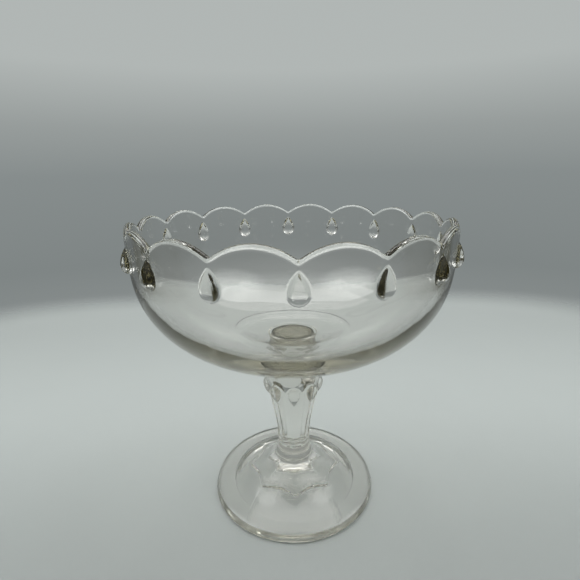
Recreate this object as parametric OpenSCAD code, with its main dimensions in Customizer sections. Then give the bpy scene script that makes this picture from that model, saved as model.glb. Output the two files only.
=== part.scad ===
// Footed compote bowl of pressed clear glass. A deep scalloped bowl, with a teardrop under
// each notch of its rim, is joined by a thin wafer of hot glass to a fluted pedestal that
// spreads over a pointed skirt into a round foot.
// Sizes are in millimetres. The foot rests on z = 0 and the axis of the piece is z. A notch
// of the rim, a teardrop, a drop of the stem and a point of the skirt all face -y.

/* [Bowl] */
// Outer radius of the bowl at its rim
rim_r = 108; // [98:0.5:118]
// How much narrower the bowl is where its upright wall ends
wall_draft = 0.6; // [0.3:0.1:2]
// Thickness of the glass in the upright wall, which the rim rounds over
wall_t = 5; // [4:0.1:6.5]
// Height of the bowl from its seat to the notches of the rim
bowl_h = 93; // [84:0.5:102]
// Height of the upright wall, up to the notches
upright_h = 12; // [10:0.5:24]
// Thickness of the glass at the bottom of the belly
belly_t = 9.4; // [6:0.1:11]
// Fullness of the belly's curve: 2 gives an ellipse, and more is squarer
belly_fullness = 2.34; // [2.1:0.02:2.7]
// Radius of the flat disc in the floor of the bowl
floor_r = 43.5; // [36:0.5:50]
// Depth of the fine step round that disc
floor_step = 0.5; // [0.2:0.1:1]
// Radius of the round pad under the bowl
pad_r = 18; // [17:0.5:24]
// Height of that pad under the belly
pad_h = 1; // [0.6:0.1:3]

/* [Rim] */
// Number of scallops round the rim, which is also the number of teardrops
scallops = 16; // [12:1:18]
// Height of a scallop above its notches
scallop_h = 7.3; // [5:0.1:9]

/* [Teardrops on the bowl] */
// Width of a teardrop
drop_w = 11.2; // [8:0.1:14]
// Height of a teardrop, from its tip down to its round end
drop_h = 15.9; // [14:0.1:19]
// How far a teardrop stands out from the wall
drop_out = 4.2; // [2.5:0.1:5]
// Distance from a notch down to the tip of its teardrop
drop_gap = 5; // [3:0.1:7]

/* [Joining wafer] */
// Radius of the wafer of glass that joins the bowl to the pedestal
wafer_r = 16; // [13:0.5:16.5]
// Thickness of the wafer
wafer_t = 1.6; // [1:0.1:3]

/* [Stem] */
// Height of the whole pedestal, from the table to the wafer
pedestal_h = 114.4; // [110:0.2:126]
// Number of flutes round the stem, which is also the number of its drops
flutes = 8; // [6:1:10]
// Radius of the stem at its neck, over the ridges between the flutes
neck_r = 12.6; // [11:0.1:14]
// Height of the neck above the table
neck_z = 42; // [40:0.5:50]
// Radius of the stem's shoulder
shoulder_r = 19.8; // [18:0.1:22]
// Height of the shoulder above the table
shoulder_z = 99; // [92:0.5:101]
// Height of the rounding that closes the shoulder in to the seat
shoulder_h = 8; // [6:0.5:9]
// Radius of the seat on top of the stem
seat_r = 16.6; // [16.5:0.1:17.5]
// Depth of a flute between its soft ridges
flute_depth = 0.9; // [0.5:0.1:1.3]
// Height of the arch that closes each flute at the top
arch_h = 9; // [5:0.5:14]
// Width of a drop on the stem
stem_drop_w = 9.6; // [7:0.1:10.5]
// Height of a drop on the stem, from its round top to its tip
stem_drop_h = 15; // [13:0.5:20]
// How far a drop stands out from the stem
stem_drop_out = 3.6; // [2:0.1:4.4]
// Distance from the shoulder down to the round top of a drop
stem_drop_gap = 4.5; // [1:0.5:6]

/* [Base moulding] */
// Radius of the eight-sided collar under the stem, over its corners
collar_r = 15.5; // [14.5:0.1:17]
// Height of the collar's foot above the table
collar_z = 25.5; // [23.5:0.5:27]
// Height of the collar's upright side
collar_h = 2.2; // [1.5:0.1:3]
// Height of the beaded moulding between the collar and the stem
moulding_h = 9.5; // [8:0.5:12]
// Number of beads in that moulding
beads = 2; // [1:1:3]
// Depth of the grooves between the beads
groove = 1.3; // [0.6:0.1:1.8]
// Height of the plain step between the moulding and the flutes
neck_step = 1; // [0.5:0.1:2]

/* [Skirt] */
// Radius of the skirt at its points
point_r = 35.5; // [33:0.5:40]
// Radius of the skirt between its points
hollow_r = 30.5; // [27:0.5:32]
// Height of the points above the table
point_z = 15.4; // [14.8:0.1:17]
// How much higher the skirt's edge is between its points
hollow_rise = 1.2; // [0:0.1:2]
// Radius of the rounding on the skirt's edge
skirt_round = 0.6; // [0.3:0.1:0.8]
// How sharp the points are: 1 is a straight zigzag, and more is sharper
point_sharpness = 1.7; // [1.2:0.1:2.4]
// How much the slope sags below the collar: 1 is a straight cone
slope_sag = 1.7; // [1:0.1:2.2]

/* [Foot] */
// Outer radius of the foot
foot_r = 63.5; // [58:0.5:72]
// Thickness of the foot at its edge
edge_t = 6.6; // [5:0.1:8]
// How much narrower the foot is at its upper edge, so that it leaves the mould
edge_draft = 0.8; // [0:0.1:2]
// Rounding of the foot's upper edge
edge_round = 2.7; // [1.5:0.1:3]
// Rounding of the foot's lower edge
base_round = 1.9; // [1:0.1:2]
// Height of the flat land on the foot that the skirt stands on
land_z = 13.2; // [12.5:0.1:14.2]
// Width of that land outside the points of the skirt
land_w = 1.2; // [0.6:0.1:3]
// Radius of the hollow under the foot
hollow_under_r = 47.5; // [44:0.5:54]
// Height of the hollow under the foot
hollow_under_h = 13; // [10:0.1:16]
// Fullness of that hollow's curve
hollow_fullness = 1.5; // [1.2:0.05:2]

/* [Hidden] */

glass_colour = [0.84, 0.87, 0.84, 0.6];
seam_colour = [0.62, 0.64, 0.58, 0.7];

// How finely the forms are drawn.
arc_fn = 64;
steps_per_scallop = 6;
belly_steps = 9;
rim_steps = 6;
flank_steps = 4;
steps_per_flute = 8;
stem_steps = 11;
steps_per_bead = 5;
skirt_steps = 5;
edge_steps = 5;
hollow_steps = 9;

// Overrun of a buried end.
over = 1;
// Radius of the point of every drop, and how full its flanks are: 1 is a straight cone.
tip_r = 0.4;
flank_fullness = 1.9;
// Section of a drop, flat on the front with steep sides: places across it, as shares of its
// half width, and how far it stands out there, as shares of its reach.
drop_shares = [[-1, 0], [-0.8, 0.43], [-0.6, 0.8], [-0.38, 1],
    [0.38, 1], [0.6, 0.8], [0.8, 0.43], [1, 0]];
// How much wider a drop is at its buried back than where it leaves the wall.
back_share = 1.15;

// Heights that the pieces share.
bowl_z = pedestal_h + wafer_t;
notch_z = bowl_z + bowl_h;
spring_z = notch_z - upright_h;

// The bowl's wall and belly.
belly_r = rim_r - wall_draft;
core_r = belly_r - wall_t;
belly_h = spring_z - bowl_z - pad_h;
core_h = belly_h - belly_t;

// A point at a radius and height, at a share of a turn from the front.
function around(r, z, turn) = [r * sin(360 * turn), -r * cos(360 * turn), z];

// Points of an arc in a profile, from one angle to another.
function arc(centre, r, from, to, steps) =
    [for (i = [0:steps]) let (a = from + (to - from) * i / steps)
        centre + r * [cos(a), sin(a)]];

// A solid whose skin runs through rings of as many points each, with a flat cap at both ends.
module loft(rings) {
    n = len(rings[0]);
    sides = [for (i = [0:len(rings) - 2], k = [0:n - 1])
        let (a = i * n + k, b = i * n + (k + 1) % n)
        each [[a, a + n, b + n], [a, b + n, b]]];
    first = [for (k = [0:n - 1]) k];
    last = [for (k = [n - 1:-1:0]) (len(rings) - 1) * n + k];
    polyhedron([for (ring = rings) each ring], concat(sides, [first, last]));
}

// A drop in relief on the front of a wall. It is widest at a height, comes to a point in the
// direction that point_up gives, and its back is buried in the wall by a depth.
module teardrop(w, h, out, wide_z, point_up, wall_at, depth) {
    round_end = [for (a = [-72:24:0]) w / 2 * [sin(a), cos(a)]];
    flank = [for (i = [1:flank_steps]) let (s = i / flank_steps)
        [(h - w / 2) * s, tip_r + (w / 2 - tip_r) * (1 - pow(s, flank_fullness))]];
    loft([for (step = concat(round_end, flank))
        let (z = wide_z + point_up * step[0], r = point_up * step[1], reach = out * 2 * step[1] / w)
        concat(
            [for (side = [1, -1]) [r * side * back_share, depth - wall_at(z), z]],
            [for (share = drop_shares) [r * share[0], -wall_at(z) - reach * share[1], z]]
        )]);
}

// A point of the belly's curve, from its lowest at 0 degrees to its widest at 90.
function belly(r, h, t) =
    [r * pow(sin(t), 2 / belly_fullness), spring_z - h * pow(cos(t), 2 / belly_fullness)];
function belly_angle(r, at) = asin(pow(at / r, belly_fullness / 2));
function belly_curve(r, h, from) =
    [for (i = [0:belly_steps]) belly(r, h, from + (90 - from) * i / belly_steps)];

// Height of the rim at a place across one scallop, from -1 at one notch to 1 at the next.
half_chord = (rim_r - wall_t / 2) * sin(180 / scallops);
scallop_r = (pow(half_chord, 2) + pow(scallop_h, 2)) / (2 * scallop_h);
function rim_z(across) =
    notch_z + scallop_h - scallop_r + sqrt(pow(scallop_r, 2) - pow(half_chord * across, 2));

// One upright section of the bowl: up the outside, over the round rim and down the inside.
outer_curve = belly_curve(belly_r, belly_h, belly_angle(belly_r, pad_r));
inner_curve = belly_curve(core_r, core_h, belly_angle(core_r, floor_r));
function bowl_section(top) = concat(
    [[pad_r, bowl_z]],
    outer_curve,
    arc([rim_r - wall_t / 2, top - wall_t / 2], wall_t / 2, 0, 180, rim_steps),
    [for (i = [belly_steps:-1:0]) inner_curve[i]],
    [inner_curve[0] - [floor_step, floor_step]]
);

// The shell of the bowl with its scalloped rim.
module bowl_shell() {
    n = scallops * steps_per_scallop;
    sections = [for (k = [0:n - 1])
        bowl_section(rim_z(2 * (k % steps_per_scallop) / steps_per_scallop - 1))];
    loft([for (i = [0:len(sections[0]) - 1])
        [for (k = [0:n - 1]) around(sections[k][i][0], sections[k][i][1], k / n)]]);
}

// The ring of teardrops, one under each notch.
module bowl_drops() {
    for (k = [0:scallops - 1])
        rotate(360 * k / scallops)
            hull()
                teardrop(drop_w, drop_h, drop_out, notch_z - drop_gap - drop_h + drop_w / 2, 1,
                    function (z) belly_r, wall_t / 2);
}

module bowl() {
    color(glass_colour)
        union() {
            bowl_shell();
            bowl_drops();
        }
}

module joining_wafer() {
    color(seam_colour)
        translate([0, 0, pedestal_h])
            cylinder(r = wafer_r, h = wafer_t, $fn = arc_fn);
}

// Radius of the stem over its ridges, from the top of the moulding to the shoulder.
function stem_r(z) =
    let (s = max(0, (z - neck_z) / (shoulder_z - neck_z)))
    neck_r + (shoulder_r - neck_r) * (1 - cos(180 * min(1, s))) / 2;

// Radius of an upright side at a place across it: 0 leaves it round, and 1 makes it flat.
function side_r(r, across, flat) =
    r - flat * (r - r * cos(180 / flutes) / cos(180 / flutes * across));

// How deep a flute is at a place across it, from 0 on its ridges to 1 in its middle.
function flute_share(across) = (1 + cos(180 * across)) / 2;

// How much of a flute is left at a height, under the soft arch that closes it.
function under_arch(z, across) =
    let (s = min(1, max(0, (shoulder_z - arch_h * pow(across, 2) / 2 - z) / arch_h)))
    s * s * (3 - 2 * s);

// The skirt's edge swings between its points and its hollows.
function near_point(across) = pow(abs(across), point_sharpness);
function skirt_r(across) = hollow_r + (point_r - hollow_r) * near_point(across);
function skirt_z(across) = point_z + hollow_rise * (1 - near_point(across));

// The fluted stem is one loft, from inside the foot, over the skirt, its collar and the
// beaded moulding, up to the seat. Each row below gives radius and height across a flute.
moulding_z = collar_z + collar_h;
shaft_z = moulding_z + moulding_h + neck_step;
skirt_rows = [for (i = [0:skirt_steps]) i / skirt_steps];
moulding_rows = [for (i = [1:beads * steps_per_bead]) i / (beads * steps_per_bead)];
shaft_rows = [for (i = [0:stem_steps]) shaft_z + (shoulder_z - shaft_z) * i / stem_steps];
top_rows = [for (a = [30:30:90]) a];

function stem_section(across) = concat(
    [[neck_r, land_z - over], [skirt_r(across), land_z - over]],
    [for (s = skirt_rows)
        let (from = skirt_r(across) - skirt_round * s, to = side_r(collar_r, across, 1))
        [from + (to - from) * s,
            skirt_z(across) + (collar_z - skirt_z(across)) * pow(s, slope_sag)]],
    [[side_r(collar_r, across, 1), moulding_z]],
    [for (s = moulding_rows)
        let (r = neck_r + (collar_r - neck_r) * (1 - s),
            cut = groove * (1 - abs(sin(180 * beads * s))) * (1 - s / 2))
        [side_r(r - cut, across, s / 3), moulding_z + s * moulding_h]],
    [for (z = shaft_rows)
        [stem_r(z) - flute_depth * flute_share(across) * under_arch(z, across), z]],
    [for (a = top_rows)
        [seat_r + (shoulder_r - seat_r) * cos(a), shoulder_z + shoulder_h * sin(a)]],
    [[seat_r, pedestal_h]]
);

module stem() {
    n = flutes * steps_per_flute;
    sections = [for (k = [0:n - 1])
        stem_section(2 * (k % steps_per_flute) / steps_per_flute - 1)];
    loft([for (i = [0:len(sections[0]) - 1])
        [for (k = [0:n - 1]) around(sections[k][i][0], sections[k][i][1], k / n)]]);
}

// The drops of the stem hang with their points down, on the ridges between the flutes.
module stem_drops() {
    for (k = [0:flutes - 1])
        rotate(360 * k / flutes)
            teardrop(stem_drop_w, stem_drop_h, stem_drop_out,
                shoulder_z - stem_drop_gap - stem_drop_w / 2, -1,
                function (z) stem_r(z), stem_drop_w / 2);
}

// The round foot: a shallow cone with a rolled edge, and a flat land for the skirt on top.
module foot() {
    rotate_extrude($fn = arc_fn)
        polygon(concat(
            [[0, 0]],
            arc([foot_r - base_round, base_round], base_round, -90, 0, edge_steps),
            arc([foot_r - edge_draft - edge_round, edge_t - edge_round], edge_round, 0, 75,
                edge_steps),
            [[point_r + land_w, land_z], [0, land_z]]
        ));
}

// The domed hollow under the foot and skirt, which leaves a flat ring to stand on.
module hollow_under() {
    rotate_extrude($fn = arc_fn)
        polygon(concat(
            [[0, -over], [hollow_under_r, -over]],
            [for (i = [hollow_steps:-1:0]) let (s = i / hollow_steps)
                [hollow_under_r * s, hollow_under_h * (1 - pow(s, 1 + hollow_fullness))]]
        ));
}

module pedestal() {
    color(glass_colour)
        difference() {
            union() {
                stem();
                stem_drops();
                foot();
            }
            hollow_under();
        }
}

bowl();
joining_wafer();
pedestal();
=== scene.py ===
"""Footed compote bowl of pressed clear glass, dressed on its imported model.

The bowl, the joining wafer and the pedestal are each one fine closed skin that stands for the
node of its name. Lengths are in metres. The foot rests on z = 0 and the axis of the piece is z.
"""

import math

import bmesh
import bpy
import numpy as np
from bpy.props import FloatProperty, FloatVectorProperty, IntProperty, PointerProperty
from mathutils import Matrix, Vector


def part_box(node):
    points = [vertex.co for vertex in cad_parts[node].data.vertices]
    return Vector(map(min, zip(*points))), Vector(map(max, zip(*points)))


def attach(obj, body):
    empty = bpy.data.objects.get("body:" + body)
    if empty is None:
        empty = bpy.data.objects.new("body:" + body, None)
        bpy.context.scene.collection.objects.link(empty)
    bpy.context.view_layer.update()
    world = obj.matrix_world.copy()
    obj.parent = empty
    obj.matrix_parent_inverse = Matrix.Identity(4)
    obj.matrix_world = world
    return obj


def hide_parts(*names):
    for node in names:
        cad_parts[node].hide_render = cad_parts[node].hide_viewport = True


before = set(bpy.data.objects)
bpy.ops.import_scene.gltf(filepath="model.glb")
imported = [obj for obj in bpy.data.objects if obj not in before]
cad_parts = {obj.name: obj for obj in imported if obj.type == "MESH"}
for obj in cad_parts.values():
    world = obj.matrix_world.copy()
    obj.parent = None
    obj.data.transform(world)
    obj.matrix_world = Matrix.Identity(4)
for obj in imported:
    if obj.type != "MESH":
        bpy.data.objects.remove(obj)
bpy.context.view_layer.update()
BOWL_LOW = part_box("bowl")[0]
WAFER_LOW, WAFER_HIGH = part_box("joining_wafer")
PEDESTAL_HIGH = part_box("pedestal")[1]

bl_info = {
    "name": "Footed Compote Bowl",
    "version": (1, 0, 0),
    "blender": (4, 5, 0),
    "location": "View3D > Sidebar > Compote",
    "description": "Builds a pressed glass compote bowl with a scalloped rim, raised teardrops "
    "and a fluted pedestal",
    "category": "Add Mesh",
}

MM = 0.001
# Columns of the fine skins, close enough that the drops and the rim read as smooth glass.
DROP_COLUMNS = 11
SCALLOP_COLUMNS = 16
FLUTE_COLUMNS = 36
WAFER_COLUMNS = 128
# The close columns reach this share of a teardrop's width to each side of its middle.
DROP_REACH = 0.56
# Rows of points along each stretch of the two sections, and on each small rounded corner.
BOWL_ROWS = {
    "belly": 44, "drops": 17, "wall": 18, "rim": 15, "inner_wall": 8, "inside": 46, "floor": 10
}
PEDESTAL_ROWS = {
    "hollow": 30, "edge": 9, "cone": 18, "lip": 6, "skirt": 22,
    "moulding": 34, "stem": 74, "top": 10,
}
CORNER_ROWS = 4
# Section of a teardrop: places from its middle to its side, and how far it stands out there.
DROP_PLACES = (0, 0.25, 0.38, 0.48, 0.6, 0.7, 0.8, 0.9, 1, 2)
DROP_SHARES = (1, 1, 0.975, 0.92, 0.8, 0.63, 0.43, 0.215, 0, -2.15)
# Half a teardrop's width at its tip, how full its flanks are, and the fillet round it.
DROP_TIP = 0.4 * MM
FLANK_POWER = 1.9
DROP_FILLET = 0.7 * MM
# Finer rows start this far below the bowl's teardrops.
DROP_MARGIN = 1.2 * MM
# Rounding of the rim's notches and of the pad's edge, and how far under the belly the pad ends.
NOTCH_ROUND = 0.9 * MM
PAD_ROUND = 0.3 * MM
PAD_DROP = 0.1 * MM
# Radius of a ring of points on the faces that are fused together.
SEAM_RING = 8 * MM
# The haze in the joint fades out between these radii.
HAZE_FADE = (9 * MM, 16.5 * MM)
# How far the wafer stays clear of its neighbours, and the rounding of its edges.
WAFER_GAP = 0.01 * MM
WAFER_ROUND = 0.25 * MM
# Rounding where the hollow under the foot meets the ring that the foot stands on.
UNDER_ROUND = 0.5 * MM
# The foot's upper edge turns this far before the cone starts.
EDGE_TURN = math.radians(73)
# How hollow the skirt runs down from the collar, and how sharp its points are.
SKIRT_POWER = 1.7
POINT_POWER = 1.7
# Fine curves in millimetres: out and up at the foot of the skirt, in and down at the seat.
SKIRT_FILLET = ((0.5, 0), (0.12, 0.1), (0, 0.5))
SEAT_ROUND = ((0, 0.3), (0.1, 0.08), (0.3, 0))
# How much wider than deep the floor is, and how far it lies under the foot.
FLOOR_SPREAD = 1.25
FLOOR_DROP = 0.1 * MM
# The camera's place, its turn, tilt and roll, and its sensor and lens in millimetres.
CAMERA_PLACE = (-7.71 * MM, -278.22 * MM, 247.1 * MM)
CAMERA_TURN = math.radians(-1.27)
CAMERA_TILT = math.radians(73.327)
CAMERA_ROLL = -0.0125
CAMERA_SENSOR, CAMERA_LENS = 36, 24.946
# How often light may be mirrored or bent in the glass, and how often it may pass straight through.
BOUNCES = 128
CLEAR_BOUNCES = 32


def length(name, description, default):
    """A length in metres that a user may change."""
    return FloatProperty(
        name=name, description=description, default=default, min=0, unit="LENGTH", precision=4
    )


def plain(name, description, default, low, high):
    """A plain number that a user may change."""
    return FloatProperty(name=name, description=description, default=default, min=low, max=high)


def number_of(name, description, default, low):
    """A number of like forms that a user may change."""
    return IntProperty(name=name, description=description, default=default, min=low)


def colour(name, description, default):
    """A colour that a user may change."""
    return FloatVectorProperty(
        name=name, description=description, default=default, size=3, min=0, max=1, subtype="COLOR"
    )


class BowlSizes(bpy.types.PropertyGroup):
    """Sizes of the bowl."""

    seat_z: length("Seat", "Height of the bowl's pad above the table", BOWL_LOW.z)
    rim_r: length("Rim radius", "Outer radius of the bowl at its rim", 108 * MM)
    wall_draft: length("Draft", "How much narrower the bowl is under its upright wall", 0.6 * MM)
    wall_t: length("Wall", "Thickness of the upright wall, which the rim rounds over", 5 * MM)
    notch_h: length("Notch height", "Height of the rim's notches above the seat", 93 * MM)
    upright_h: length("Upright wall", "Height of the upright wall up to the notches", 12 * MM)
    belly_t: length("Belly", "Thickness of the glass at the bottom of the belly", 9.4 * MM)
    fullness: plain("Fullness", "2 gives an ellipse, and more is squarer", 2.34, 2, 3)
    floor_r: length("Floor radius", "Radius of the flat disc in the floor", 43.5 * MM)
    floor_step: length("Floor step", "Depth of the fine step round that disc", 0.5 * MM)
    pad_r: length("Pad radius", "Radius of the round pad under the bowl", 18 * MM)
    pad_h: length("Pad height", "Height of that pad", 1 * MM)
    scallops: number_of("Scallops", "Number of scallops and of teardrops", 16, 4)
    scallop_h: length("Scallop height", "Height of a scallop above its notches", 7.3 * MM)
    drop_w: length("Drop width", "Width of a teardrop", 11.2 * MM)
    drop_h: length("Drop height", "Height of a teardrop from its tip to its round end", 15.9 * MM)
    drop_out: length("Drop relief", "How far a teardrop stands out from the wall", 4.2 * MM)
    drop_gap: length("Drop gap", "Distance from a notch down to the tip of its teardrop", 5.0 * MM)


class PedestalSizes(bpy.types.PropertyGroup):
    """Sizes of the wafer, the stem, the skirt and the foot."""

    wafer_r: length("Wafer radius", "Radius of the joining wafer", WAFER_HIGH.x)
    height: length("Height", "Height of the pedestal from the table to the wafer", PEDESTAL_HIGH.z)
    flutes: number_of("Flutes", "Number of flutes and of the stem's drops", 8, 4)
    neck_r: length("Neck radius", "Radius of the neck over its ridges", 12.6 * MM)
    neck_z: length("Neck", "Height of the neck above the table", 42 * MM)
    shoulder_r: length("Shoulder radius", "Radius of the stem's shoulder", 19.8 * MM)
    shoulder_z: length("Shoulder", "Height of the shoulder above the table", 99 * MM)
    shoulder_h: length("Shoulder rounding", "Height of the rounding over the shoulder", 8 * MM)
    seat_r: length("Seat radius", "Radius of the seat on top of the stem", 16.6 * MM)
    flute_depth: length("Flute depth", "Depth of a flute between its soft ridges", 0.9 * MM)
    arch_h: length("Arch height", "Height of the arch that closes each flute", 9 * MM)
    drop_w: length("Drop width", "Width of a drop on the stem", 9.6 * MM)
    drop_h: length("Drop height", "Height of a drop on the stem", 15 * MM)
    drop_out: length("Drop relief", "How far a drop stands out from the stem", 3.6 * MM)
    drop_gap: length("Drop gap", "Distance from the shoulder down to a drop", 4.5 * MM)
    collar_r: length("Collar radius", "Radius of the collar over its corners", 15.5 * MM)
    collar_z: length("Collar", "Height of the collar's foot above the table", 25.5 * MM)
    collar_h: length("Collar height", "Height of the collar's upright side", 2.2 * MM)
    moulding_h: length("Moulding height", "Height of the beaded moulding over the collar", 9.5 * MM)
    beads: number_of("Beads", "Number of beads in the moulding", 2, 1)
    groove: length("Groove", "Depth of the grooves between the beads", 1.3 * MM)
    neck_step: length("Neck step", "Height of the plain step over the moulding", 1 * MM)
    point_r: length("Point radius", "Radius of the skirt at its points", 35.5 * MM)
    hollow_r: length("Hollow radius", "Radius of the skirt between its points", 30.5 * MM)
    point_z: length("Points", "Height of the skirt's points above the table", 15.4 * MM)
    hollow_rise: length("Hollow rise", "Rise of the skirt's edge between its points", 1.2 * MM)
    skirt_round: length("Skirt rounding", "Radius of the rounding on the skirt's edge", 0.6 * MM)
    foot_r: length("Foot radius", "Outer radius of the foot", PEDESTAL_HIGH.x)
    edge_t: length("Edge", "Thickness of the foot at its edge", 6.6 * MM)
    edge_draft: length("Edge draft", "How much narrower the foot is at its upper edge", 0.8 * MM)
    edge_round: length("Edge rounding", "Rounding of the foot's upper edge", 2.7 * MM)
    base_round: length("Base rounding", "Rounding of the foot's lower edge", 1.9 * MM)
    land_z: length("Land", "Height of the flat land that the skirt stands on", 13.2 * MM)
    land_w: length("Land width", "Width of that land outside the skirt's points", 1.2 * MM)
    under_r: length("Hollow under radius", "Radius of the hollow under the foot", 47.5 * MM)
    under_h: length("Hollow under height", "Height of the hollow under the foot", 13 * MM)
    under_fullness: plain("Hollow fullness", "Fullness of that hollow's curve", 1.5, 0.5, 3)


class GlassFinish(bpy.types.PropertyGroup):
    """Colours and finish of the glass."""

    tint: colour("Tint", "Colour of the clear glass", (0.995, 0.988, 0.98))
    depth_tint: colour("Depth tint", "Colour that thick glass takes on", (0.7, 0.685, 0.574))
    depth: plain("Depth", "How strongly each metre of glass takes on that colour", 9, 0, 100)
    ior: plain("Refraction", "Index of refraction", 1.51, 1, 2)
    seam: colour("Seam", "Colour of the haze in the joint", (0.82, 0.81, 0.72))


class StageLook(bpy.types.PropertyGroup):
    """Floor, surroundings and light."""

    floor: colour("Floor", "Colour of the floor", (0.43, 0.455, 0.447))
    floor_half: length("Floor size", "Half the depth of the floor", 0.56)


class Wire:
    """A node's output. Python's own signs on it add Math nodes."""

    def __init__(self, tree, socket=None):
        self.tree, self.socket = tree, socket

    def add(self, kind, settings=None, sockets=None, out=0):
        """A node of a type. Its settings are set first, then its sockets' values or links."""
        node = self.tree.nodes.new(kind)
        for name, value in (settings or {}).items():
            if name == "stops":
                ramp = node.color_ramp.elements
                while len(ramp) < len(value):
                    ramp.new(0.5)
                for element, (place, shade) in zip(ramp, value):
                    element.position, element.color = place, (*shade, 1)
            else:
                setattr(node, name, value)
        for name, value in (sockets or {}).items():
            if isinstance(value, Wire):
                self.tree.links.new(value.socket, node.inputs[name])
            else:
                node.inputs[name].default_value = value
        return Wire(self.tree, node.outputs[out] if node.outputs else None)

    def maths(self, operation, *values):
        """A Math node on some values."""
        return self.add("ShaderNodeMath", {"operation": operation}, dict(enumerate(values)))

    def vector(self, operation, *values, out=0):
        """A Vector Math node on this vector and others."""
        sockets = dict(enumerate((self, *values)))
        return self.add("ShaderNodeVectorMath", {"operation": operation}, sockets, out)

    def axis(self, letter):
        """One of the three parts of this vector."""
        return self.add("ShaderNodeSeparateXYZ", None, {0: self}, letter)

    def size(self):
        """The length of this vector."""
        return self.vector("LENGTH", out="Value")

    def along(self, aim):
        """How far this vector goes the way of an aim."""
        return self.vector("DOT_PRODUCT", aim, out="Value")

    def __add__(self, other):
        return self.maths("ADD", self, other)

    __radd__ = __add__

    def __sub__(self, other):
        return self.maths("SUBTRACT", self, other)

    def __rsub__(self, other):
        return self.maths("SUBTRACT", other, self)

    def __mul__(self, other):
        return self.maths("MULTIPLY", self, other)

    __rmul__ = __mul__

    def __truediv__(self, other):
        return self.maths("DIVIDE", self, other)

    def above(self, low, high):
        """A soft step from 0 at low to 1 at high. Low may be the higher of the two."""
        return self.add(
            "ShaderNodeMapRange",
            {"interpolation_type": "SMOOTHSTEP"},
            {"Value": self, "From Min": low, "From Max": high},
        )

    def blend(self, first, second):
        """A colour between two colours, by this share."""
        return self.add(
            "ShaderNodeMix",
            {"data_type": "RGBA"},
            {"Factor": self, 6: first, 7: second},
            out=2,
        )

    def noise(self, place, scale, detail):
        """An even noise from 0 to 1, with so many cells to the metre."""
        return self.add(
            "ShaderNodeTexNoise", None, {"Vector": place, "Scale": scale, "Detail": detail}
        )


def new_material(name):
    """An empty node material and the wire that starts it."""
    material = bpy.data.materials.new(name)
    material.use_nodes = True
    material.node_tree.nodes.clear()
    return material, Wire(material.node_tree)


def opaque(shade, share=1):
    """A colour with full alpha, brought down to a share."""
    return (*(c * share for c in shade), 1)


def glass_depth(start, finish):
    """The colour that light takes on over its way through the glass."""
    return start.add(
        "ShaderNodeVolumeAbsorption",
        None,
        {"Color": opaque(finish.depth_tint), "Density": finish.depth},
    )


def clear_glass(finish):
    """Fire-polished pressed glass, a little wavy, with a trace of colour in its depth."""
    material, start = new_material("fire_polished_glass")
    place = start.add("ShaderNodeTexCoord", out="Object")
    broad = start.noise(place, scale=42, detail=1)
    ripple = start.noise(place, scale=260, detail=2)
    wave = broad * 0.8 + ripple * 0.05
    bump = start.add(
        "ShaderNodeBump", None, {"Strength": 0.12, "Distance": 0.6 * MM, "Height": wave}
    )
    haze = start.noise(place, scale=900, detail=3)
    base = broad.blend(opaque(finish.tint), opaque(finish.tint, 0.985))
    glass = start.add(
        "ShaderNodeBsdfPrincipled",
        None,
        {
            "Base Color": base,
            "Roughness": haze.above(0.55, 0.8) * 0.03,
            "IOR": finish.ior,
            "Transmission Weight": 1.0,
            "Normal": bump,
        },
    )
    start.add(
        "ShaderNodeOutputMaterial", None, {"Surface": glass, "Volume": glass_depth(start, finish)}
    )
    return material


def seam_glass(finish):
    """The fused faces of the joint: light goes straight on, but for a fine-grained haze inside."""
    material, start = new_material("fused_seam")
    place = start.add("ShaderNodeTexCoord", out="Object")
    grain = start.noise(place, scale=1500, detail=3).above(0.5, 0.62)
    from_axis = place.vector("MULTIPLY", (1, 1, 0)).size()
    share = (grain * 0.3 + 0.2) * (1 - from_axis.above(*HAZE_FADE))
    clear = start.add("ShaderNodeBsdfTransparent")
    haze = start.add(
        "ShaderNodeBsdfPrincipled", None, {"Base Color": opaque(finish.seam), "Roughness": 0.5}
    )
    mixed = start.add("ShaderNodeMixShader", None, {0: share, 1: clear, 2: haze})
    start.add(
        "ShaderNodeOutputMaterial", None, {"Surface": mixed, "Volume": glass_depth(start, finish)}
    )
    return material


def both_glasses(finish):
    """The clear glass and the fused seam, made the first time that a piece needs them."""
    makers = {"fire_polished_glass": clear_glass, "fused_seam": seam_glass}
    return [bpy.data.materials.get(name) or make(finish) for name, make in makers.items()]


def ease(s):
    """A soft step from 0 to 1."""
    s = np.clip(s, 0, 1)
    return s * s * (3 - 2 * s)


def filleted(lift):
    """A teardrop's height over its wall, with a fillet round it and nothing below zero."""
    h = np.clip(0.5 + 0.5 * lift / DROP_FILLET, 0, 1)
    return np.maximum(lift * h + DROP_FILLET * h * (1 - h) * 0.5, 0)


def from_middle(share, forms, r):
    """Distance along the round from the middle of the nearest teardrop."""
    return np.where(share < 0.5, share, share - 1) * 2 * math.pi * r / forms


def rise(x, z, w, h, out, wide_z, point_up):
    """Height of a teardrop over its wall, across and up the wall. Below zero is outside it."""
    run = point_up * (z - wide_z)
    s = np.clip(run / (h - w / 2), 0, 1)
    flank = DROP_TIP + (w / 2 - DROP_TIP) * (1 - s**FLANK_POWER)
    end = np.sqrt(np.clip((w / 2) ** 2 - run**2, 0, None))
    ring = np.where(run > 0, np.where(run < h - w / 2, flank, 0), end)
    beyond = np.maximum(run - h + w / 2, 0) + np.maximum(-run - w / 2, 0)
    place = np.abs(x) / np.maximum(ring, DROP_TIP)
    return ring * 2 * out / w * np.interp(place, DROP_PLACES, DROP_SHARES) - beyond


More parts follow.
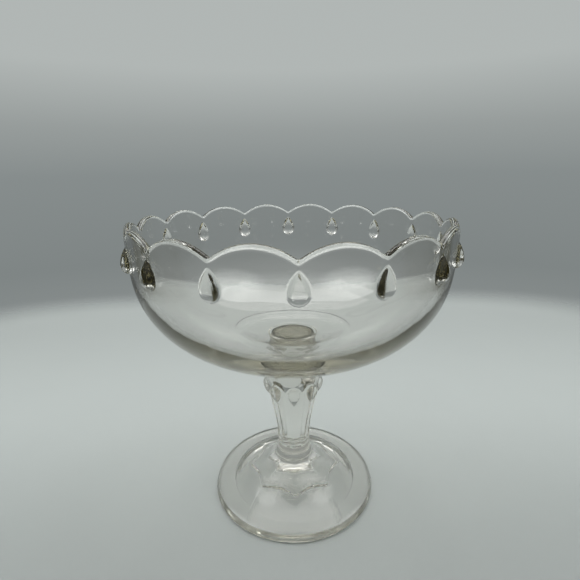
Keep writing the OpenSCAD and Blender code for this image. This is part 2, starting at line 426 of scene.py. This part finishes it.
def skin(name, rows, turns, materials, seam_rows):
    """A closed skin through rows of points. Its first and last row are each one point on the axis.

    Faces that start at a seam row get the second material, and all others the first.
    """
    mesh = bmesh.new()
    count = len(turns)
    angle = 2 * math.pi * turns
    across, away = np.sin(angle), -np.cos(angle)
    rings = []
    for k, (r, z) in enumerate(zip(rows.radii, rows.heights)):
        if k in (0, len(rows.radii) - 1):
            rings.append([mesh.verts.new((0, 0, float(np.mean(z))))] * count)
        else:
            x, y = r * across, r * away
            rings.append([mesh.verts.new(p) for p in zip(x.tolist(), y.tolist(), z.tolist())])
    for k, (a, b) in enumerate(zip(rings, rings[1:])):
        for i in range(count):
            j = (i + 1) % count
            corners = [a[i], a[j], b[j], b[i]]
            face = mesh.faces.new(list(dict.fromkeys(corners)))
            face.smooth = True
            face.material_index = 1 if k in seam_rows else 0
    data = bpy.data.meshes.new(name)
    mesh.to_mesh(data)
    mesh.free()
    piece = bpy.data.objects.new(name, data)
    bpy.context.scene.collection.objects.link(piece)
    for material in materials:
        data.materials.append(material)
    return piece


def spread(value, count):
    """A value or a row of values as one row."""
    return np.broadcast_to(np.asarray(value, float), (count,)).copy()


class Section:
    """Rows of radius and height, each across all columns, in order along the skin."""

    def __init__(self, count):
        self.count, self.radii, self.heights = count, [], []

    def put(self, r, z):
        """One more row."""
        self.radii.append(spread(r, self.count))
        self.heights.append(spread(z, self.count))

    def corner(self, r, z, size, into, out):
        """A small rounded corner at a place, between the way in and the way out."""
        for s in np.linspace(0, 1, CORNER_ROWS):
            a, b = (1 - s) ** 2 * size, s**2 * size
            self.put(r - a * into[0] + b * out[0], z - a * into[1] + b * out[1])

    def arc(self, r, z, size, start, stop, rows):
        """A round stretch about a centre, from one angle to another."""
        for a in np.linspace(start, stop, rows):
            self.put(r + size * math.cos(a), z + size * math.sin(a))


def bowl_columns(size):
    """Turns of the columns: close together on the teardrops and wider between them."""
    pitch = 1 / size.scallops
    half = DROP_REACH * size.drop_w / (2 * math.pi * size.rim_r)
    near = np.linspace(0, half, DROP_COLUMNS, endpoint=False)
    between = np.linspace(half, pitch - half, SCALLOP_COLUMNS, endpoint=False)
    far = np.linspace(pitch - half, pitch, DROP_COLUMNS, endpoint=False)
    one = np.concatenate([near, between, far])
    return np.concatenate([one + k * pitch for k in range(size.scallops)])


def bowl_section(size, turns):
    """The bowl's section in each column: pad, outside, rim, inside and floor."""
    count = len(turns)
    share = (turns * size.scallops) % 1
    across = 2 * share - 1
    notch_z = size.seat_z + size.notch_h
    spring_z = notch_z - size.upright_h
    belly_r = size.rim_r - size.wall_draft
    core_r = belly_r - size.wall_t
    belly_h = spring_z - size.seat_z - size.pad_h
    core_h = belly_h - size.belly_t
    mid_r = size.rim_r - size.wall_t / 2
    half_chord = mid_r * math.sin(math.pi / size.scallops)
    scallop_r = (half_chord**2 + size.scallop_h**2) / (2 * size.scallop_h)
    from_notch = half_chord * (1 - np.abs(across))
    rounded = half_chord - np.sqrt(from_notch**2 + NOTCH_ROUND**2) + NOTCH_ROUND * 0.5
    top = notch_z + size.scallop_h - scallop_r + np.sqrt(scallop_r**2 - rounded**2)
    from_drop = from_middle(share, size.scallops, belly_r)
    wide_z = notch_z - size.drop_gap - size.drop_h + size.drop_w / 2
    n = size.fullness

    def on_curve(r, h, t):
        """A point of the belly's curve, from its bottom at 0 to a quarter turn."""
        return r * math.sin(t) ** (2 / n), spring_z - h * math.cos(t) ** (2 / n)

    def relief(r, z):
        """The wall's radius with the teardrops on it."""
        lift = rise(from_drop, z, size.drop_w, size.drop_h, size.drop_out, wide_z, 1)
        return r + filleted(lift)

    rows = Section(count)
    rows.put(0, size.seat_z)
    rows.put(SEAM_RING, size.seat_z)
    seam_rows = (0, 1)
    rows.put(WAFER_HIGH.x, size.seat_z)
    rows.corner(size.pad_r, size.seat_z, PAD_ROUND, (1, 0), (0, 1))
    start = math.asin((size.pad_r / belly_r) ** (n / 2))
    first_r, first_z = on_curve(belly_r, belly_h, start)
    rows.put(first_r, first_z - PAD_DROP)
    drop_low = wide_z - size.drop_w / 2 - DROP_MARGIN
    stop = math.acos(((spring_z - drop_low) / belly_h) ** (n / 2))
    for t in start + (stop - start) * np.linspace(0.004, 1, BOWL_ROWS["belly"]):
        rows.put(*on_curve(belly_r, belly_h, t))
    for z in np.linspace(drop_low, spring_z, BOWL_ROWS["drops"])[1:]:
        r = belly_r * (1 - ((spring_z - z) / belly_h) ** n) ** (1 / n)
        rows.put(relief(r, np.full(count, z)), z)
    brow = top - size.wall_t / 2
    for s in np.linspace(0, 1, BOWL_ROWS["wall"])[1:-1]:
        z = spring_z + (brow - spring_z) * s
        rows.put(relief(belly_r + size.wall_draft * s, z), z)
    rows.arc(mid_r, brow, size.wall_t / 2, 0, math.pi, BOWL_ROWS["rim"])
    inner = mid_r - size.wall_t / 2
    for s in np.linspace(0, 1, BOWL_ROWS["inner_wall"])[1:-1]:
        rows.put(inner + (core_r - inner) * s, brow + (spring_z - brow) * s)
    low = math.asin((size.floor_r / core_r) ** (n / 2))
    for t in np.linspace(math.pi / 2, low, BOWL_ROWS["inside"])[:-1]:
        rows.put(*on_curve(core_r, core_h, t))
    edge_r, edge_z = on_curve(core_r, core_h, low)
    step = size.floor_step
    rows.put(edge_r, edge_z)
    for s in (0.25, 0.5, 0.75, 1):
        rows.put(edge_r - step * s, edge_z - step * float(ease(s)))
    for r in np.linspace(edge_r - step, 0, BOWL_ROWS["floor"])[1:]:
        rows.put(r, edge_z - step)
    return rows, seam_rows


def pedestal_section(size, turns):
    """The pedestal's section in each column: hollow, foot, skirt, moulding, stem and seat."""
    count = len(turns)
    share = (turns * size.flutes) % 1
    across = 2 * share - 1
    ridge = math.pi / size.flutes

    def side(r, hollow):
        """A radius that goes from round to flat-sided by a share."""
        flat = r * math.cos(ridge) / np.cos(ridge * across)
        return r - hollow * (r - flat)

    near_point = np.abs(across) ** POINT_POWER
    skirt_r = size.hollow_r + (size.point_r - size.hollow_r) * near_point
    skirt_z = size.point_z + size.hollow_rise * (1 - near_point)
    collar = side(size.collar_r, 1)
    moulding_z = size.collar_z + size.collar_h
    shaft_z = moulding_z + size.moulding_h + size.neck_step

    rows = Section(count)
    for s in np.linspace(0, 1, PEDESTAL_ROWS["hollow"])[:-1]:
        rows.put(size.under_r * s, size.under_h * (1 - s ** (1 + size.under_fullness)))
    rows.corner(size.under_r, 0, UNDER_ROUND, (0.6, -0.8), (1, 0))
    base, edge = size.base_round, size.edge_round
    rows.arc(size.foot_r - base, base, base, -math.pi / 2, 0, PEDESTAL_ROWS["edge"])
    edge_r = size.foot_r - size.edge_draft - edge
    rows.arc(edge_r, size.edge_t - edge, edge, 0, EDGE_TURN, PEDESTAL_ROWS["edge"])
    cone_r, cone_z = rows.radii[-1], rows.heights[-1]
    land_r = size.point_r + size.land_w
    for s in np.linspace(0, 1, PEDESTAL_ROWS["cone"])[1:]:
        rows.put(cone_r + (land_r - cone_r) * s, cone_z + (size.land_z - cone_z) * s)
    for out, up in SKIRT_FILLET:
        rows.put(skirt_r + out * MM, size.land_z + up * MM)
    lip = size.skirt_round
    outer = skirt_r - lip
    rows.arc(outer, skirt_z - lip, lip, 0, math.pi / 2, PEDESTAL_ROWS["lip"])
    for s in np.linspace(0, 1, PEDESTAL_ROWS["skirt"])[1:-1]:
        z = skirt_z + (size.collar_z - skirt_z) * s**SKIRT_POWER
        rows.put(outer + (collar - outer) * s, z)
    rows.put(collar, size.collar_z)
    rows.put(collar, size.collar_z + size.collar_h * 0.5)
    rows.put(collar, moulding_z)
    for s in np.linspace(0, 1, PEDESTAL_ROWS["moulding"])[1:]:
        r = size.neck_r + (size.collar_r - size.neck_r) * (1 - s)
        cut = size.groove * (1 - abs(math.sin(math.pi * size.beads * s))) * (1 - s / 2)
        rows.put(side(r - cut, s / 3), moulding_z + s * size.moulding_h)

    def stem(z):
        """Radius of the stem over its ridges."""
        s = np.clip((z - size.neck_z) / (size.shoulder_z - size.neck_z), 0, 1)
        return size.neck_r + (size.shoulder_r - size.neck_r) * (1 - np.cos(math.pi * s)) / 2

    wide_z = size.shoulder_z - size.drop_gap - size.drop_w / 2
    for z in np.linspace(shaft_z, size.shoulder_z, PEDESTAL_ROWS["stem"]):
        arch = ease((size.shoulder_z - size.arch_h * across**2 / 2 - z) / size.arch_h)
        r = stem(z) - size.flute_depth * arch * (1 + np.cos(math.pi * across)) / 2
        from_ridge = from_middle(share, size.flutes, stem(z))
        level = np.full(count, z)
        lift = rise(from_ridge, level, size.drop_w, size.drop_h, size.drop_out, wide_z, -1)
        rows.put(r + filleted(lift + stem(z) - r), z)
    for a in np.linspace(0, math.pi / 2, PEDESTAL_ROWS["top"])[1:]:
        r = size.seat_r + (size.shoulder_r - size.seat_r) * math.cos(a)
        rows.put(r, size.shoulder_z + size.shoulder_h * math.sin(a))
    for inward, down in SEAT_ROUND:
        rows.put(size.seat_r - inward * MM, size.height - down * MM)
    rows.put(size.wafer_r, size.height)
    rows.put(SEAM_RING, size.height)
    rows.put(0, size.height)
    last = len(rows.radii)
    return rows, (last - 3, last - 2)


def stand_for(piece, node):
    """The piece takes the node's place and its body."""
    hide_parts(node)
    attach(piece, "root")


class COMPOTE_OT_bowl(bpy.types.Operator):
    """Mould the scalloped bowl with its ring of teardrops"""

    bl_idname = "compote.bowl"
    bl_label = "Mould the bowl"

    def execute(self, context):
        size, finish = context.scene.compote_bowl, context.scene.compote_glass
        turns = bowl_columns(size)
        rows, seam_rows = bowl_section(size, turns)
        piece = skin("bowl_glass", rows, turns, both_glasses(finish), seam_rows)
        stand_for(piece, "bowl")
        return {"FINISHED"}


class COMPOTE_OT_wafer(bpy.types.Operator):
    """Lay the wafer of hot glass that joins the bowl to the pedestal"""

    bl_idname = "compote.wafer"
    bl_label = "Lay the joining wafer"

    def execute(self, context):
        size, finish = context.scene.compote_pedestal, context.scene.compote_glass
        turns = np.linspace(0, 1, WAFER_COLUMNS, endpoint=False)
        rows = Section(len(turns))
        low, high = WAFER_LOW.z + WAFER_GAP, WAFER_HIGH.z - WAFER_GAP
        rows.put(0, low)
        rows.put(SEAM_RING, low)
        rows.corner(size.wafer_r, low, WAFER_ROUND, (1, 0), (0, 1))
        rows.put(size.wafer_r, (low + high) / 2)
        rows.corner(size.wafer_r, high, WAFER_ROUND, (0, 1), (-1, 0))
        rows.put(SEAM_RING, high)
        rows.put(0, high)
        last = len(rows.radii)
        seam_rows = (0, 1, last - 3, last - 2)
        piece = skin("joining_wafer_glass", rows, turns, both_glasses(finish), seam_rows)
        stand_for(piece, "joining_wafer")
        return {"FINISHED"}


class COMPOTE_OT_pedestal(bpy.types.Operator):
    """Press the fluted stem, its pointed skirt and the round foot"""

    bl_idname = "compote.pedestal"
    bl_label = "Press the pedestal"

    def execute(self, context):
        size, finish = context.scene.compote_pedestal, context.scene.compote_glass
        turns = np.linspace(0, 1, size.flutes * FLUTE_COLUMNS, endpoint=False)
        rows, seam_rows = pedestal_section(size, turns)
        piece = skin("pedestal_glass", rows, turns, both_glasses(finish), seam_rows)
        stand_for(piece, "pedestal")
        return {"FINISHED"}


def matt_floor(look):
    """A pale matt sheet with painted shade towards the front and the back, that fades into the room
    at its edge.

    Light mirrored often in the glass finds a painted shadow of the glass on it near the foot, and
    for all mirrored light it fades out sooner.
    """
    material, start = new_material("pale_sheet")
    place = start.add("ShaderNodeTexCoord", out="Object")
    mirrors = start.add("ShaderNodeLightPath", out="Glossy Depth")
    mottle = start.noise(place, scale=14, detail=3)
    x, y = place.axis("X"), place.axis("Y")
    # Painted shade: the sheet darkens towards the front and the back, down to 0.72 of its colour,
    # as if the lamp's light fell off there. The mottle is a random tone.
    painted_shade_front, painted_shade_back = y.above(0.1, -0.13), y.above(0.1, 0.36)
    shade = mottle * 0.1 + painted_shade_front + painted_shade_back * 0.42
    # Painted shadow: near the foot the sheet goes dark, down to 0.22 of its colour, for light
    # mirrored often in the glass. It stands in for the glass's own shade there.
    painted_foot_shadow = (1 - place.size().above(0.12, 0.24)) * mirrors.above(3, 6)
    tone = painted_foot_shadow.blend(
        shade.blend(opaque(look.floor), opaque(look.floor, 0.72)), opaque(look.floor, 0.22)
    )
    sheet = start.add("ShaderNodeBsdfPrincipled", None, {"Base Color": tone, "Roughness": 0.7})
    fourths = start.maths("POWER", x / FLOOR_SPREAD, 4) + start.maths("POWER", y, 4)
    far = start.maths("POWER", fourths, 0.25) * (1 + 0.4 * mirrors.above(0, 1))
    end = far.above(look.floor_half * 0.77, look.floor_half)
    clear = start.add("ShaderNodeBsdfTransparent")
    faded = start.add("ShaderNodeMixShader", None, {0: end, 1: sheet, 2: clear})
    start.add("ShaderNodeOutputMaterial", None, {"Surface": faded})
    return material


def surroundings():
    """A pale room by height, with a grey wall and a bright ceiling with a panel on each side.

    Light mirrored in the glass finds the room a little darker below the ceiling, and nearly
    black low at both sides. Light mirrored very often finds it nearly black all round.
    """
    world = bpy.data.worlds.new("pale_room")
    world.use_nodes = True
    world.node_tree.nodes.clear()
    start = Wire(world.node_tree)
    way = start.add("ShaderNodeTexCoord", out="Generated")
    mirrors = start.add("ShaderNodeLightPath", out="Glossy Depth")
    up = way.axis("Z")
    tones = [
        (0.0, (0.44, 0.475, 0.47)),
        (0.32, (0.43, 0.465, 0.46)),
        (0.356, (0.24, 0.262, 0.26)),
        (0.4, (0.213, 0.236, 0.235)),
        (0.495, (0.24, 0.265, 0.265)),
        (0.545, (0.31, 0.335, 0.33)),
        (0.604, (0.44, 0.47, 0.46)),
        (0.66, (0.44, 0.47, 0.46)),
        (0.75, (0.52, 0.55, 0.54)),
        (0.88, (0.62, 0.64, 0.63)),
        (1.0, (0.6, 0.62, 0.61)),
    ]
    tone = start.add("ShaderNodeValToRGB", {"stops": tones}, {"Fac": up * 0.5 + 0.5})

    def both_sides(aim, edge, core):
        """A soft patch round an aim, at the left and the right."""
        return sum(way.along((side * aim[0], *aim[1:])).above(edge, core) for side in (1, -1))

    panels = both_sides((0.556, 0.05, 0.83), 0.92, 0.985)
    dark_sides = both_sides((0.945, 0.203, -0.254), 0.87, 0.93)
    mirrored = mirrors.above(0, 1)
    deep = mirrors.above(11, 24) + dark_sides * mirrored
    dimmed = mirrored * (1 - up.above(0.35, 0.7)) * 0.36
    back = start.add(
        "ShaderNodeBackground",
        None,
        {
            "Color": deep.blend(tone, opaque((0.05, 0.047, 0.024))),
            "Strength": (panels * (1 - deep) * 4 + 1) * (1 - dimmed * (1 - deep)),
        },
    )
    start.add("ShaderNodeOutputWorld", None, {"Surface": back})
    return world


def soft_lamp(name, place, target, width, height, power):
    """A soft lamp with a rectangular face that looks at a point."""
    lamp = bpy.data.lights.new(name, "AREA")
    lamp.shape, lamp.size, lamp.size_y, lamp.energy = "RECTANGLE", width, height, power
    holder = bpy.data.objects.new(name, lamp)
    bpy.context.scene.collection.objects.link(holder)
    holder.location = place
    aim = Vector(target) - Vector(place)
    holder.rotation_euler = aim.to_track_quat("-Z", "Y").to_euler()


class COMPOTE_OT_stage(bpy.types.Operator):
    """Set the floor, the surroundings, the lamp and the camera"""

    bl_idname = "compote.stage"
    bl_label = "Set the stage"

    def execute(self, context):
        scene, look = context.scene, context.scene.compote_stage
        mesh = bmesh.new()
        wide = Matrix.Diagonal((FLOOR_SPREAD, 1, 1, 1))
        bmesh.ops.create_grid(
            mesh, x_segments=8, y_segments=8, size=look.floor_half, matrix=wide
        )
        data = bpy.data.meshes.new("floor_sheet")
        mesh.to_mesh(data)
        mesh.free()
        floor = bpy.data.objects.new("floor_sheet", data)
        scene.collection.objects.link(floor)
        floor.location.z = -FLOOR_DROP
        data.materials.append(matt_floor(look))

        scene.world = surroundings()
        soft_lamp(
            "lamp_over",
            place=(0, 0.3, 0.9),
            target=(0, 0, 0.05),
            width=0.8,
            height=0.5,
            power=2.5,
        )

        lens = bpy.data.cameras.new("camera")
        lens.sensor_width, lens.lens = CAMERA_SENSOR, CAMERA_LENS
        lens.clip_start, lens.clip_end = 0.01, 20
        camera = bpy.data.objects.new("camera", lens)
        scene.collection.objects.link(camera)
        camera.matrix_world = (
            Matrix.Translation(CAMERA_PLACE)
            @ Matrix.Rotation(CAMERA_TURN, 4, "Z")
            @ Matrix.Rotation(CAMERA_TILT, 4, "X")
            @ Matrix.Rotation(CAMERA_ROLL, 4, "Z")
        )
        scene.camera = camera

        scene.view_settings.view_transform = "Standard"
        light = scene.cycles
        light.max_bounces = light.transmission_bounces = light.glossy_bounces = BOUNCES
        light.transparent_max_bounces = CLEAR_BOUNCES
        light.blur_glossy = 0
        return {"FINISHED"}


class COMPOTE_PT_sidebar(bpy.types.Panel):
    """Lists the sizes and the steps that build the piece"""

    bl_label = "Footed Compote Bowl"
    bl_idname = "COMPOTE_PT_sidebar"
    bl_space_type = "VIEW_3D"
    bl_region_type = "UI"
    bl_category = "Compote"

    def draw(self, context):
        scene, layout = context.scene, self.layout
        for title, group, steps in (
            ("Bowl", scene.compote_bowl, (COMPOTE_OT_bowl,)),
            ("Pedestal", scene.compote_pedestal, (COMPOTE_OT_wafer, COMPOTE_OT_pedestal)),
            ("Glass", scene.compote_glass, ()),
            ("Stage", scene.compote_stage, (COMPOTE_OT_stage,)),
        ):
            box = layout.box()
            box.label(text=title)
            for name in type(group).__annotations__:
                box.prop(group, name)
            for step in steps:
                box.operator(step.bl_idname)


GROUPS = {
    "compote_bowl": BowlSizes,
    "compote_pedestal": PedestalSizes,
    "compote_glass": GlassFinish,
    "compote_stage": StageLook,
}
CLASSES = (
    *GROUPS.values(),
    COMPOTE_OT_bowl,
    COMPOTE_OT_wafer,
    COMPOTE_OT_pedestal,
    COMPOTE_OT_stage,
    COMPOTE_PT_sidebar,
)


def register():
    """Registers the classes and gives the scene its groups of sizes."""
    for kind in CLASSES:
        bpy.utils.register_class(kind)
    for name, kind in GROUPS.items():
        setattr(bpy.types.Scene, name, PointerProperty(type=kind))


def unregister():
    """Takes away what register added."""
    for name in GROUPS:
        delattr(bpy.types.Scene, name)
    for kind in reversed(CLASSES):
        bpy.utils.unregister_class(kind)


def main():
    register()
    bpy.ops.compote.bowl()
    bpy.ops.compote.wafer()
    bpy.ops.compote.pedestal()
    bpy.ops.compote.stage()


if __name__ == "__main__":
    main()
